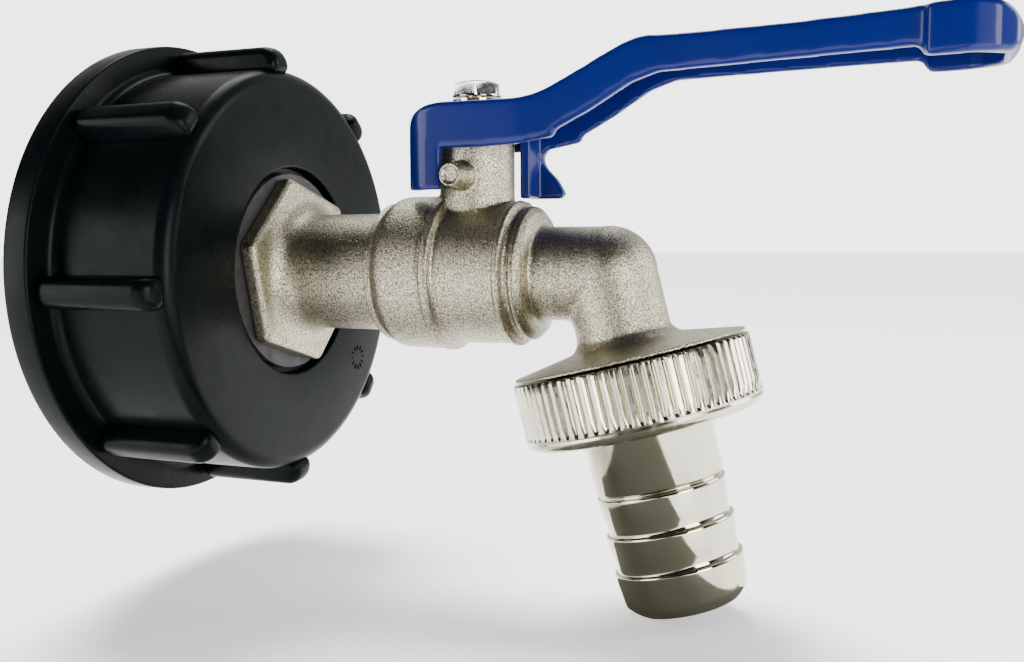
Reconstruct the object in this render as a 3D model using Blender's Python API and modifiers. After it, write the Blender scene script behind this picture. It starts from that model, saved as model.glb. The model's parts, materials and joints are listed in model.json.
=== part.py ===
"""Tank outlet tap: a screw cap for a coarse-threaded tank spout, with a lever ball tap and a barbed hose tail.

Frame: metres, +Z up. The origin is the centre of the cap's open rear end, +X runs along the cap and the
tap's waterway away from the tank, and the lever's stem stands along +Z. Driving dimensions are in millimetres.
"""
import math

import bmesh
import bpy
from mathutils import Matrix, Vector

MM = 0.001
GAP = 0.3              # between pieces that touch

# Screw cap
CAP_LENGTH = 26.0
FLANGE_R = 39.0
FLANGE_T = 4.7
CAP_BODY_R = 34.0
CAP_FRONT_ROUND = 2.6
CAP_SOCKET_DEPTH = 21.5
THREAD_MAJOR_R = 30.0
THREAD_MINOR_R = 28.2
THREAD_PITCH = 6.0
THREAD_FIRST = 4.5     # centre of the first thread ridge, from the rim
THREAD_RIDGES = 3
GASKET_R = 27.9        # passes the thread ridges
GASKET_FACE = 18.3
GASKET_T = 2.9
HUB_R = 17.6           # threaded hub in the middle of the cap
HUB_REAR = 15.0
RECESS_DEPTH = 2.1
RIB_COUNT = 8
RIB_TURN = 3.5         # degrees
RIB_R = 37.8
RIB_HALF_WIDTH = 2.2

# Inlet connector
INLET_THREAD_R = 13.0
INLET_BORE_R = 5.5
HEX_ACROSS_FLATS = 28.0
HEX_TURN = 13.5        # degrees
HEX_FRONT = 28.2
NECK_R = 9.6
NECK_START = 31.8
JOINT_X = 45.7         # where the neck enters the housing
SPIGOT_END = 52.6
SPIGOT_R = 9.7

# Ball housing, stem tower and elbow
HOUSING_R = 12.3
CHAMBER_R = 8.6
STEM_X = 60.1          # the stem's axis and the ball's centre
BALL_R = 8.2
BALL_BORE_R = 5.0
HOUSING_END = 71.8
PIPE_R = 7.3
PIPE_BORE_R = 5.2
TOWER_R = 5.95
TOWER_TOP = 22.6
BOSS_R = 1.6
BOSS_Z = 15.15
BOSS_TIP = 10.2        # distance of the stop boss's end from the stem's axis

# Stem
STEM_R = 2.8
STEM_FLANGE_R = 4.0
STEM_FLANGE_Z = 8.9
STEM_POCKET_TOP = 11.4
RING_LEVELS = (14.2, 17.4)
STEM_SQUARE = 2.0      # half the width of the square that carries the lever
STEM_THREAD_R = 1.9

# Lever
LEVER_TOP = 26.5       # top of the plate over the stem
SHEET = 1.7
LEVER_FRONT = 51.0
LEVER_TIP = 138.5
HUB_HALF_WIDTH = 8.0
FRONT_TAB_EDGE = 57.4
FRONT_TAB_BOTTOM = 13.6
REAR_TAB_X = 66.5
REAR_TAB_EDGE = 2.0
REAR_TAB_BOTTOM = 12.2
NUT_ACROSS_FLATS = 7.0

# Outlet: distances run down the outlet axis from the middle of the elbow
OUTLET_X = 82.07
OUTLET_TILT = 14.3     # degrees from straight down, towards +X
SKIRT_TOP = 11.0
SKIRT_R = 17.9
SKIRT_BOTTOM = 12.95
SPIGOT_THREAD_R = 13.0
SPIGOT_LOW = 18.2
SEAL_T = 1.5
COLLAR_T = 1.6
COLLAR_R = 13.0
UNION_TOP = 13.25
UNION_BOTTOM = 23.8
UNION_R = 18.4
TAIL_R = 10.0
TAIL_VALLEY_R = 9.35
TAIL_BORE_R = 6.6
BARB_FIRST = 33.0
BARB_PITCH = 5.85
BARBS = 3
TAIL_END = 51.6

CAP_FRAME = ((0.0, 0.0, 0.0), (0.0, math.pi / 2, 0.0))
STEM_FRAME = ((STEM_X * MM, 0.0, 0.0), (0.0, 0.0, 0.0))
OUTLET_FRAME = ((OUTLET_X * MM, 0.0, 0.0), (0.0, math.pi - math.radians(OUTLET_TILT), 0.0))
SIDE_FRAME = ((0.0, 0.0, 0.0), (math.pi / 2, 0.0, 0.0))
PLAN_FRAME = ((0.0, 0.0, 0.0), (0.0, 0.0, 0.0))


def clear_scene():
    for obj in list(bpy.data.objects):
        bpy.data.objects.remove(obj, do_unlink=True)


def new_collection(name):
    collection = bpy.data.collections.new(name)
    bpy.context.scene.collection.children.link(collection)
    return collection


clear_scene()
PARTS = new_collection("tank_outlet_tap")
CUTTERS = new_collection("cutters")


def material(name, color, roughness, metallic):
    mat = bpy.data.materials.new(name)
    mat.use_nodes = True
    shader = mat.node_tree.nodes["Principled BSDF"]
    shader.inputs["Base Color"].default_value = (*color, 1.0)
    shader.inputs["Roughness"].default_value = roughness
    shader.inputs["Metallic"].default_value = metallic
    return mat


BLACK_PLASTIC = material("black_plastic", (0.012, 0.014, 0.014), 0.35, 0.0)
BLASTED_NICKEL = material("blasted_nickel", (0.56, 0.53, 0.47), 0.45, 1.0)
POLISHED_NICKEL = material("polished_nickel", (0.72, 0.67, 0.6), 0.12, 1.0)
BLUE_PAINT = material("blue_paint", (0.0, 0.045, 0.35), 0.2, 0.0)
PTFE = material("white_ptfe", (0.85, 0.85, 0.82), 0.5, 0.0)
RUBBER = material("black_rubber", (0.02, 0.02, 0.02), 0.7, 0.0)
BRASS = material("bare_brass", (0.72, 0.52, 0.22), 0.3, 1.0)
BRIGHT_STEEL = material("bright_steel", (0.75, 0.75, 0.74), 0.2, 1.0)


def add_object(name, mesh, frame, mat=None, parent=None):
    """Places a mesh as a part, or as a hidden cutter when it has no material."""
    obj = bpy.data.objects.new(name, mesh)
    location, rotation = frame
    obj.location = location
    obj.rotation_euler = rotation
    if mat is None:
        CUTTERS.objects.link(obj)
        obj.hide_render = True
        obj.display_type = "WIRE"
    else:
        PARTS.objects.link(obj)
        mesh.materials.append(mat)
    if parent is not None:
        obj.parent = parent
        obj.location = Vector(location) - parent.location
    return obj


def signed_area(points):
    pairs = zip(points, points[1:] + points[:1])
    return sum(a[0] * b[1] - b[0] * a[1] for a, b in pairs) / 2


def turned(name, profile, frame, mat=None, segments=36, turn=0.0, parent=None, ring=True):
    """Turns a profile of (along, radius) points round the frame's Z axis.

    A ring's profile is a closed loop. Otherwise the profile is open, starts at the far end and both its ends
    are on the axis.
    """
    points = [(radius * MM, along * MM) for along, radius in profile]
    if ring and signed_area(points) > 0:
        points.reverse()
    angle = math.radians(turn)
    across = Vector((math.cos(angle), math.sin(angle), 0.0))
    mesh = bpy.data.meshes.new(name)
    vertices = [across * x + Vector((0.0, 0.0, z)) for x, z in points]
    count = len(points)
    edges = [(i, (i + 1) % count) for i in range(count if ring else count - 1)]
    mesh.from_pydata(vertices, edges, [])
    obj = add_object(name, mesh, frame, mat, parent)
    screw = obj.modifiers.new("Turn", "SCREW")
    screw.axis = "Z"
    screw.steps = segments
    screw.render_steps = segments
    screw.use_merge_vertices = True
    screw.merge_threshold = 0.00001
    screw.use_smooth_shade = segments > 6
    return obj


def rod(name, frame, low, high, radius, mat=None, segments=36, turn=0.0, parent=None):
    profile = [(high, 0.0), (high, radius), (low, radius), (low, 0.0)]
    return turned(name, profile, frame, mat, segments, turn, parent, ring=False)


def outline_mesh(name, points, low, high):
    """A flat outline in local X and Y, extruded from low to high along local Z."""
    curve = bpy.data.curves.new(name, "CURVE")
    curve.dimensions = "2D"
    curve.fill_mode = "BOTH"
    curve.extrude = (high - low) / 2 * MM
    spline = curve.splines.new("POLY")
    spline.points.add(len(points) - 1)
    for point, (x, y) in zip(spline.points, points):
        point.co = (x * MM, y * MM, 0.0, 1.0)
    spline.use_cyclic_u = True
    holder = bpy.data.objects.new(name, curve)
    CUTTERS.objects.link(holder)
    graph = bpy.context.evaluated_depsgraph_get()
    mesh = bpy.data.meshes.new_from_object(holder.evaluated_get(graph))
    bpy.data.objects.remove(holder, do_unlink=True)
    work = bmesh.new()
    work.from_mesh(mesh)
    bmesh.ops.remove_doubles(work, verts=work.verts, dist=0.00001)
    bmesh.ops.translate(work, verts=work.verts, vec=(0.0, 0.0, (low + high) / 2 * MM))
    bmesh.ops.recalc_face_normals(work, faces=work.faces)
    work.to_mesh(mesh)
    work.free()
    mesh.materials.clear()
    return mesh


def outline(name, points, frame, low, high, mat=None, parent=None):
    return add_object(name, outline_mesh(name, points, low, high), frame, mat, parent)


def block(name, corner_a, corner_b, mat=None, frame=PLAN_FRAME):
    (x0, y0, z0), (x1, y1, z1) = corner_a, corner_b
    return outline(name, [(x0, y0), (x1, y0), (x1, y1), (x0, y1)], frame, z0, z1, mat)


def combine(obj, operation, *others):
    for other in others:
        boolean = obj.modifiers.new(other.name, "BOOLEAN")
        boolean.operation = operation
        boolean.solver = "EXACT"
        boolean.object = other
    return obj


def sphere_mesh(name, radius, segments):
    mesh = bpy.data.meshes.new(name)
    work = bmesh.new()
    bmesh.ops.create_uvsphere(work, u_segments=segments, v_segments=segments // 2, radius=radius * MM)
    for face in work.faces:
        face.smooth = True
    work.to_mesh(mesh)
    work.free()
    return mesh


def ball_cutter(name, radius, segments):
    """A sphere at the middle of the elbow, with its poles on the bend's axis."""
    middle = (OUTLET_X * MM, 0.0, 0.0)
    return add_object(name, sphere_mesh(name, radius, segments), (middle, (math.pi / 2, 0.07, 0.0)))


def arc(cx, cy, radius, start, end, steps):
    angles = [math.radians(start + (end - start) * i / steps) for i in range(steps + 1)]
    return [(cx + radius * math.cos(a), cy + radius * math.sin(a)) for a in angles]


def smooth(points, steps):
    """A Catmull-Rom curve through the points, which are the ends too."""
    ends = [points[0]] + points + [points[-1]]
    curve = []
    for i in range(len(points) - 1):
        p0, p1, p2, p3 = (Vector(p) for p in ends[i:i + 4])
        for k in range(steps):
            t = k / steps
            bend = 2 * p0 - 5 * p1 + 4 * p2 - p3
            twist = 3 * p1 - p0 - 3 * p2 + p3
            curve.append(tuple((2 * p1 + (p2 - p0) * t + bend * t ** 2 + twist * t ** 3) / 2))
    return curve + [tuple(points[-1])]


# ---------------------------------------------------------------- screw cap

def cap_profile():
    front, back = CAP_LENGTH, 0.0
    round_x = front - CAP_FRONT_ROUND
    round_r = CAP_BODY_R - CAP_FRONT_ROUND
    profile = [(front, HUB_R + 0.1)]
    profile += arc(round_x, round_r, CAP_FRONT_ROUND, 0, 90, 4)
    profile += arc(FLANGE_T + 1.5, CAP_BODY_R + 1.6, 1.5, 270, 180, 3)
    profile += [(FLANGE_T, FLANGE_R - 0.5), (FLANGE_T - 0.5, FLANGE_R), (0.5, FLANGE_R), (back, FLANGE_R - 0.5)]
    profile += [(back, THREAD_MAJOR_R + 1.0), (1.0, THREAD_MAJOR_R)]
    for i in range(THREAD_RIDGES):
        middle = THREAD_FIRST + i * THREAD_PITCH
        for offset, radius in ((-1.8, THREAD_MAJOR_R), (-0.8, THREAD_MINOR_R), (0.8, THREAD_MINOR_R)):
            profile.append((middle + offset, radius))
        if i < THREAD_RIDGES - 1:
            profile.append((middle + 1.8, THREAD_MAJOR_R))
    pocket_r = THREAD_MINOR_R + 1.0
    profile += [(GASKET_FACE - GAP, pocket_r), (CAP_SOCKET_DEPTH, pocket_r)]
    profile += [(CAP_SOCKET_DEPTH, HUB_R), (HUB_REAR, HUB_R)]
    bore = INLET_THREAD_R + GAP
    profile += [(HUB_REAR, bore), (front - RECESS_DEPTH, bore), (front - RECESS_DEPTH, HUB_R + 0.1)]
    return profile


def cap_ribs():
    """Eight grip ribs as one mesh: a side outline for each, in the cap's own axes."""
    root = CAP_BODY_R - 1.0
    side = [(root, 4.0), (RIB_R, 4.0), (RIB_R - 0.2, 21.8), (RIB_R - 1.0, 23.8), (CAP_BODY_R + 0.4, 25.4)]
    side.append((root, 25.4))
    stand = Matrix.Rotation(math.pi / 2, 4, "X")
    single = outline_mesh("rib", side, -RIB_HALF_WIDTH, RIB_HALF_WIDTH)
    work = bmesh.new()
    for i in range(RIB_COUNT):
        first = len(work.verts)
        work.from_mesh(single)
        work.verts.ensure_lookup_table()
        angle = math.radians(RIB_TURN + 360 / RIB_COUNT * i)
        bmesh.ops.transform(work, verts=work.verts[first:], matrix=Matrix.Rotation(angle, 4, "Z") @ stand)
    mesh = bpy.data.meshes.new("ribs")
    work.to_mesh(mesh)
    work.free()
    return mesh


def make_cap():
    cap = turned("adapter_cap", cap_profile(), CAP_FRAME, BLACK_PLASTIC, segments=56)
    combine(cap, "UNION", add_object("cap_ribs", cap_ribs(), CAP_FRAME))
    seat = GASKET_FACE + GASKET_T
    gasket = [(GASKET_FACE, HUB_R + GAP), (GASKET_FACE, GASKET_R), (seat, GASKET_R), (seat, HUB_R + GAP)]
    turned("cap_gasket", gasket, CAP_FRAME, RUBBER)
    floor = CAP_LENGTH - RECESS_DEPTH
    seal = [(floor + GAP, INLET_THREAD_R + GAP), (floor + GAP, 16.6), (floor + 1.3, 16.6), (floor + 1.3, 13.3)]
    turned("inlet_seal", seal, CAP_FRAME, RUBBER)


# ---------------------------------------------------------------- inlet connector

def make_connector():
    hex_rear = CAP_LENGTH - RECESS_DEPTH + 1.6
    profile = [(16.0, INLET_BORE_R), (16.0, INLET_THREAD_R - 1.0), (17.0, INLET_THREAD_R)]
    profile += [(hex_rear + 0.5, INLET_THREAD_R), (HEX_FRONT - 0.3, 13.6)]
    profile += arc(NECK_START, NECK_R + 3.7, 3.7, 180, 270, 4)
    profile += [(JOINT_X, NECK_R), (JOINT_X, SPIGOT_R), (SPIGOT_END - 0.6, SPIGOT_R), (SPIGOT_END, SPIGOT_R - 0.6)]
    profile += [(SPIGOT_END, INLET_BORE_R)]
    connector = turned("inlet_connector", profile, CAP_FRAME, BLASTED_NICKEL)
    corner = HEX_ACROSS_FLATS / 2 / math.cos(math.radians(30))
    flat = [(hex_rear, INLET_BORE_R + 3), (hex_rear, corner), (HEX_FRONT - 0.9, corner)]
    flat += [(HEX_FRONT, corner - 1.6), (HEX_FRONT, INLET_BORE_R + 3)]
    combine(connector, "UNION", turned("hexagon", flat, CAP_FRAME, segments=6, turn=HEX_TURN))


# ---------------------------------------------------------------- tap body

def housing_profile():
    """Outline of the ball housing and the level pipe, from the joint to the middle of the elbow."""
    profile = [(JOINT_X + GAP, 0.0), (JOINT_X + GAP, 10.9)]
    profile += arc(49.0, HOUSING_R - 2.6, 2.6, 155, 90, 4)
    profile += [(55.4, HOUSING_R), (55.7, HOUSING_R + 0.25), (57.1, HOUSING_R + 0.25), (57.5, 11.5)]
    profile += [(67.3, 11.5), (67.6, 11.7), (68.8, 11.7), (69.0, 10.4), (69.6, 10.4), (69.9, 10.6)]
    profile += [(HOUSING_END - 1.2, 10.5), (HOUSING_END - 0.4, 9.7), (HOUSING_END, 8.7)]
    profile += [(HOUSING_END + 0.2, PIPE_R + 0.3), (HOUSING_END + 1.0, PIPE_R)]
    profile += [(OUTLET_X, PIPE_R), (OUTLET_X, 0.0)]
    return profile[::-1]


def make_body():
    body = turned("tap_body", housing_profile(), CAP_FRAME, BLASTED_NICKEL, ring=False)
    tower = rod("tower", STEM_FRAME, 4.0, TOWER_TOP, TOWER_R, segments=32)
    boss_frame = ((STEM_X * MM, 0.0, BOSS_Z * MM), (math.pi / 2, 0.0, 0.0))
    side = [(BOSS_TIP, 0.0), (BOSS_TIP, BOSS_R), (7.6, BOSS_R), (5.9, 2.1), (4.0, 2.1), (4.0, 0.0)]
    boss = turned("stop_boss", side, boss_frame, segments=20, ring=False)
    corner = ball_cutter("elbow_corner", PIPE_R + 0.1, 28)
    spout = [(SPIGOT_LOW, 0.0), (SPIGOT_LOW, SPIGOT_THREAD_R - 1.0), (SPIGOT_LOW - 1.0, SPIGOT_THREAD_R)]
    spout += [(SKIRT_BOTTOM, SPIGOT_THREAD_R), (SKIRT_BOTTOM, SKIRT_R), (SKIRT_BOTTOM - 0.7, SKIRT_R)]
    spout += [(SKIRT_TOP, PIPE_R + 1.2), (SKIRT_TOP - 1.4, PIPE_R), (0.0, PIPE_R), (0.0, 0.0)]
    outlet = turned("outlet_pipe", spout, OUTLET_FRAME, ring=False)
    combine(body, "UNION", tower, boss, corner, outlet)

    chamber = [(69.7, 0.0), (69.7, CHAMBER_R), (53.2, CHAMBER_R), (53.2, SPIGOT_R + GAP)]
    chamber += [(40.0, SPIGOT_R + GAP), (40.0, 0.0)]
    room = turned("chamber", chamber, CAP_FRAME, segments=32, turn=3.0, ring=False)
    level = rod("level_bore", CAP_FRAME, 65.0, OUTLET_X, PIPE_BORE_R, segments=24, turn=4.0)
    bend = ball_cutter("bore_corner", PIPE_BORE_R + 0.1, 20)
    drop = [(30.0, 0.0), (30.0, 8.2), (15.0, 8.2), (13.2, PIPE_BORE_R), (0.0, PIPE_BORE_R), (0.0, 0.0)]
    fall = turned("falling_bore", drop, OUTLET_FRAME, segments=28, turn=2.0, ring=False)
    hole = [(40.0, 0.0), (40.0, STEM_R + GAP), (STEM_POCKET_TOP, STEM_R + GAP)]
    hole += [(STEM_POCKET_TOP, 4.4), (0.0, 4.4), (0.0, 0.0)]
    well = turned("stem_hole", hole, STEM_FRAME, segments=24, ring=False)
    combine(body, "DIFFERENCE", room, level, bend, fall, well)


# ---------------------------------------------------------------- ball, seats and stem

def make_seats():
    """A seat on each side of the ball; its sloping face keeps the gap to the ball."""
    for name, side in (("inlet_seat", -1), ("outlet_seat", 1)):
        face = [(8.9, 5.6), (9.2, CHAMBER_R - GAP), (4.4, CHAMBER_R - GAP), (4.4, 7.4), (6.6, 5.6)]
        back = 7.2 if side < 0 else 9.3
        profile = [(STEM_X + side * min(along, back), radius) for along, radius in face]
        turned(name, profile, CAP_FRAME, PTFE, segments=28)


def make_ball(pivot):
    ball = add_object("ball", sphere_mesh("ball", BALL_R, 28), STEM_FRAME, POLISHED_NICKEL, pivot)
    bore = rod("ball_bore", CAP_FRAME, STEM_X - 12.0, STEM_X + 12.0, BALL_BORE_R, segments=20)
    slot = block("ball_slot", (STEM_X - 1.5, -9.0, 6.2), (STEM_X + 1.5, 9.0, 12.0))
    combine(ball, "DIFFERENCE", bore, slot)


def make_stem(pivot):
    groove = 1.0
    profile = [(29.2, 0.0), (29.2, STEM_THREAD_R - 0.4), (28.8, STEM_THREAD_R), (24.5, STEM_THREAD_R), (24.5, STEM_R)]
    for level in reversed(RING_LEVELS):
        profile += [(level + groove, STEM_R), (level + groove, 1.7), (level - groove, 1.7), (level - groove, STEM_R)]
    profile += [(STEM_FLANGE_Z + 1.4, STEM_R), (STEM_FLANGE_Z + 1.4, STEM_FLANGE_R)]
    profile += [(STEM_FLANGE_Z, STEM_FLANGE_R), (STEM_FLANGE_Z, 0.0)]
    stem = turned("stem", profile, STEM_FRAME, BRASS, segments=24, parent=pivot, ring=False)
    tang = block("tang", (STEM_X - 1.2, -2.8, 6.6), (STEM_X + 1.2, 2.8, STEM_FLANGE_Z + 0.5))
    half = STEM_SQUARE
    square = block("square", (STEM_X - half, -half, 24.0), (STEM_X + half, half, 26.2))
    combine(stem, "UNION", tang, square)
    for name, level in zip(("stem_o_ring_lower", "stem_o_ring_upper"), RING_LEVELS):
        turned(name, arc(level, 2.42, 0.42, 0, 315, 7), STEM_FRAME, RUBBER, segments=20, parent=pivot)
    low, high = STEM_FLANGE_Z + 1.4 + GAP, STEM_POCKET_TOP - 0.2
    washer = [(low, STEM_R + GAP), (low, 4.1), (high, 4.1), (high, STEM_R + GAP)]
    turned("stem_thrust_washer", washer, STEM_FRAME, PTFE, segments=24)


# ---------------------------------------------------------------- lever

def lever_top():
    """The lever's top edge from the front corner to the tip."""
    front = arc(LEVER_FRONT + 4.6, LEVER_TOP - 4.6, 4.6, 180, 90, 6)
    rise = [(69.5, LEVER_TOP), (73.5, 27.4), (79.3, 30.3), (85.0, 33.3), (88.6, 34.5), (93.0, 34.5), (108.0, 34.7)]
    rise += [(121.0, 35.2), (132.5, 35.6), (136.4, 34.9), (LEVER_TIP, 32.4)]
    return front + smooth(rise, 4)


def lever_side():
    bottom = [(LEVER_TIP - 0.4, 30.4), (137.0, 29.2), (126.8, 29.0), (126.2, 30.4), (121.0, 30.2), (97.0, 29.5)]
    bottom += [(91.0, 29.3), (87.0, 28.0), (80.9, 24.3), (76.2, 21.9), (75.6, 21.7), (75.4, 20.6), (70.0, 19.7), (64.0, 19.4)]
    return lever_top() + bottom + [(LEVER_FRONT, 19.4)]


def half_widths(inset):
    """Half of the lever's plan outline, as (x, half width) from front to tip."""
    corner = 3.2
    front = LEVER_FRONT + inset
    outline_points = arc(front + corner, HUB_HALF_WIDTH - inset - corner, corner, 180, 90, 5)
    tail = [(70.0, HUB_HALF_WIDTH), (80.0, 7.0), (90.0, 6.3), (100.0, 6.5), (124.8, 7.8), (127.0, 9.2), (132.5, 9.2)]
    tail = [(x, half - inset) for x, half in tail]
    tip = LEVER_TIP - inset
    return outline_points + tail + [(tip - 3.0, 8.0 - inset), (tip - 0.8, 5.6 - inset), (tip, 2.4)]


def mirrored(points):
    return points + [(x, -y) for x, y in reversed(points)]


def lever_inside():
    """The channel under the lever's sheet, as a cutter."""
    top = [(x, z - SHEET) for x, z in lever_top()[7:-4]]
    front = arc(LEVER_FRONT + 4.6, LEVER_TOP - 4.6, 4.6 - SHEET, 180, 90, 5)
    side = front + top + [(LEVER_TIP - SHEET - 0.6, 32.4), (LEVER_TIP - SHEET - 0.6, 5.0), (LEVER_FRONT + SHEET, 5.0)]
    inside = outline("lever_inside", side, SIDE_FRAME, -12.0, 12.0)
    plan = outline("lever_inside_plan", mirrored(half_widths(SHEET)), PLAN_FRAME, 4.0, 40.0)
    return combine(inside, "INTERSECT", plan)


def make_lever(pivot):
    lever = outline("lever", lever_side(), SIDE_FRAME, -12.0, 12.0, BLUE_PAINT)
    plan = outline("lever_plan", mirrored(half_widths(0.0)), PLAN_FRAME, 10.0, 40.0)
    combine(lever, "INTERSECT", plan)
    combine(lever, "DIFFERENCE", lever_inside())

    tab = outline("front_tab", mirrored(half_widths(0.0)), PLAN_FRAME, FRONT_TAB_BOTTOM, 21.0)
    corner = block("front_tab_part", (50.0, -9.0, 10.0), (FRONT_TAB_EDGE, -3.6, 23.0))
    hollow = outline("front_tab_hollow", mirrored(half_widths(SHEET)), PLAN_FRAME, 9.0, 24.0)
    combine(tab, "INTERSECT", corner)
    combine(tab, "DIFFERENCE", hollow)

    outer = HUB_HALF_WIDTH - 0.02
    foot_line = [(REAR_TAB_X, 20.5), (REAR_TAB_X, REAR_TAB_BOTTOM), (71.6, REAR_TAB_BOTTOM)]
    foot_line += smooth([(72.3, 12.9), (71.2, 14.8), (69.5, 16.6), (68.8, 18.0), (69.2, 19.2), (70.6, 20.3)], 3)
    foot = outline("rear_tab_foot", foot_line, SIDE_FRAME, -outer, -(outer - SHEET))
    plate = block("rear_tab_plate", (REAR_TAB_X + 0.03, REAR_TAB_EDGE, REAR_TAB_BOTTOM + 0.02),
                  (REAR_TAB_X + SHEET, outer - 0.03, LEVER_TOP - 0.8))
    combine(lever, "UNION", tab, foot, plate)

    half = STEM_SQUARE + GAP
    hole = block("lever_square_hole", (STEM_X - half, -half, 20.0), (STEM_X + half, half, 30.0))
    combine(lever, "DIFFERENCE", hole)
    attach(lever, pivot)


def attach(obj, pivot):
    """Moves an object's origin onto the stem's axis and parents it to the pivot."""
    offset = obj.matrix_basis.inverted() @ Vector(pivot.location)
    obj.data.transform(Matrix.Translation(-offset))
    obj.location = (0.0, 0.0, 0.0)
    obj.parent = pivot


def make_lever_fixing(pivot):
    low = LEVER_TOP + GAP
    washer = [(low, 2.3), (low, 3.9), (low + 0.5, 3.9), (low + 0.5, 2.3)]
    turned("lever_washer", washer, STEM_FRAME, BRIGHT_STEEL, segments=24, parent=pivot)
    base = low + 0.5 + GAP
    corner = NUT_ACROSS_FLATS / 2 / math.cos(math.radians(30))
    dome = [(base + 3.0, 0.0), (base + 2.7, 2.4), (base + 2.0, corner), (base, corner), (base, 0.0)]
    nut = turned("lever_nut", dome, STEM_FRAME, BRIGHT_STEEL, segments=6, turn=20.0, parent=pivot, ring=False)
    rim = turned("nut_flange", [(base + 0.4, 3.9), (base, 3.9), (base, 3.0), (base + 0.4, 3.0)], STEM_FRAME, segments=32)
    combine(nut, "UNION", rim)
    combine(nut, "DIFFERENCE", rod("nut_thread", STEM_FRAME, 24.0, 29.5, STEM_THREAD_R + GAP, segments=24))


# ---------------------------------------------------------------- union nut, seal and hose tail

def make_outlet():
    seal_top = SPIGOT_LOW + GAP
    seal_low = seal_top + SEAL_T
    collar_top = seal_low + GAP
    collar_low = collar_top + COLLAR_T
    seal = [(seal_top, TAIL_BORE_R + 0.8), (seal_top, 12.6), (seal_low, 12.6), (seal_low, TAIL_BORE_R + 0.8)]
    turned("hose_seal", seal, OUTLET_FRAME, RUBBER, segments=30)

    thread = SPIGOT_THREAD_R + GAP
    ledge = collar_low + GAP
    nut = [(UNION_TOP, thread), (UNION_TOP, UNION_R - 0.4), (UNION_TOP + 0.4, UNION_R), (22.0, UNION_R)]
    nut += [(23.0, UNION_R - 0.8), (UNION_BOTTOM, UNION_R - 2.0), (UNION_BOTTOM, TAIL_R + 0.4), (ledge, TAIL_R + 0.4)]
    nut += [(ledge, thread)]
    turned("union_nut", nut, OUTLET_FRAME, POLISHED_NICKEL, segments=48)

    tail = [(collar_top, TAIL_BORE_R), (collar_top, COLLAR_R), (collar_low, COLLAR_R), (collar_low, TAIL_R)]
    tail += [(BARB_FIRST - 0.6, TAIL_R), (BARB_FIRST - 0.5, TAIL_VALLEY_R)]
    for i in range(BARBS):
        step = BARB_FIRST + BARB_PITCH * i
        tail += [(step, TAIL_VALLEY_R), (step, TAIL_R - 0.05), (step + BARB_PITCH - 0.5, TAIL_VALLEY_R)]
    tail[-1] = (TAIL_END - 1.6, TAIL_R - 0.7)
    tail += [(TAIL_END, TAIL_BORE_R + 1.3), (TAIL_END, TAIL_BORE_R)]
    turned("hose_tail", tail, OUTLET_FRAME, POLISHED_NICKEL)


def main():
    pivot = bpy.data.objects.new("stem_axis", None)
    pivot.location = STEM_FRAME[0]
    PARTS.objects.link(pivot)
    make_cap()
    make_connector()
    make_body()
    make_seats()
    make_ball(pivot)
    make_stem(pivot)
    make_lever(pivot)
    make_lever_fixing(pivot)
    make_outlet()


main()
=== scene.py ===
"""Tank outlet tap: models the screw cap, the inlet connector, the ball tap, its lever, the union nut and the hose tail
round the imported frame, and sets up the floor, the lights and the camera. Profiles are in millimetres.
"""

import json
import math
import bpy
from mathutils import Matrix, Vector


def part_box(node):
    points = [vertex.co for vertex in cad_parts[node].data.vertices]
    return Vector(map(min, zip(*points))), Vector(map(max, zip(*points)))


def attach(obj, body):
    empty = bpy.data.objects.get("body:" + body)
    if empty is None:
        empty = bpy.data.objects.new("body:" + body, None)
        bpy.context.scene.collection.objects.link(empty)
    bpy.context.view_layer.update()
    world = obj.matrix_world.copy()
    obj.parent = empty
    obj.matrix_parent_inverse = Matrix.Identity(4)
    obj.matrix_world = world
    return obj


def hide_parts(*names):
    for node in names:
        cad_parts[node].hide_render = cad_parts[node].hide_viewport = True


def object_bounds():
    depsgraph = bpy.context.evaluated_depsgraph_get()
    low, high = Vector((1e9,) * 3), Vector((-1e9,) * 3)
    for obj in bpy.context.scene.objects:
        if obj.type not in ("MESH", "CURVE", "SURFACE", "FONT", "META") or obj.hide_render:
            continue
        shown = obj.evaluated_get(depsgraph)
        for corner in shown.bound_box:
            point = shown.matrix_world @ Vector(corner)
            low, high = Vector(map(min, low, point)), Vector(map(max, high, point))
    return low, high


bl_info = {
    "name": "Tank outlet tap",
    "version": (1, 0, 0),
    "blender": (4, 5, 0),
    "location": "View3D > Sidebar > Outlet tap",
    "description": "Builds a screw cap with a lever ball tap and a barbed hose tail",
    "category": "Object",
}

import bmesh
import bpy
from bpy.props import FloatProperty, FloatVectorProperty, IntProperty, PointerProperty
from mathutils import Matrix, Vector

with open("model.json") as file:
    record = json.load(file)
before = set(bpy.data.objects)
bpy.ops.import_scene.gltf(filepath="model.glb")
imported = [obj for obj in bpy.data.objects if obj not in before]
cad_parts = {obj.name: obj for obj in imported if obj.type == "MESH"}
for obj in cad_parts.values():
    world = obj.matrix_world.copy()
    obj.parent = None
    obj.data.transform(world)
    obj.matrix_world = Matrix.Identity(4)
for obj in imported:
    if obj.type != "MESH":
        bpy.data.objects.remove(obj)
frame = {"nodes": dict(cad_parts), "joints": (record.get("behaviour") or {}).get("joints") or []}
CAD_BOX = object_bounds()

MM = 0.001
JOINTS = {joint["name"]: joint for joint in frame["joints"]}
STEM_X = JOINTS["lever_turn"]["pos_m"][0] / MM
ELBOW_X = JOINTS["nut_turn"]["pos_m"][0] / MM


def axis_frame(origin, direction, across):
    """Stands a piece's own Z along the direction and its own X across it."""
    z = Vector(direction).normalized()
    x = Vector(across)
    x = (x - z * x.dot(z)).normalized()
    matrix = Matrix((x, z.cross(x), z)).transposed().to_4x4()
    matrix.translation = origin
    return matrix


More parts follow.
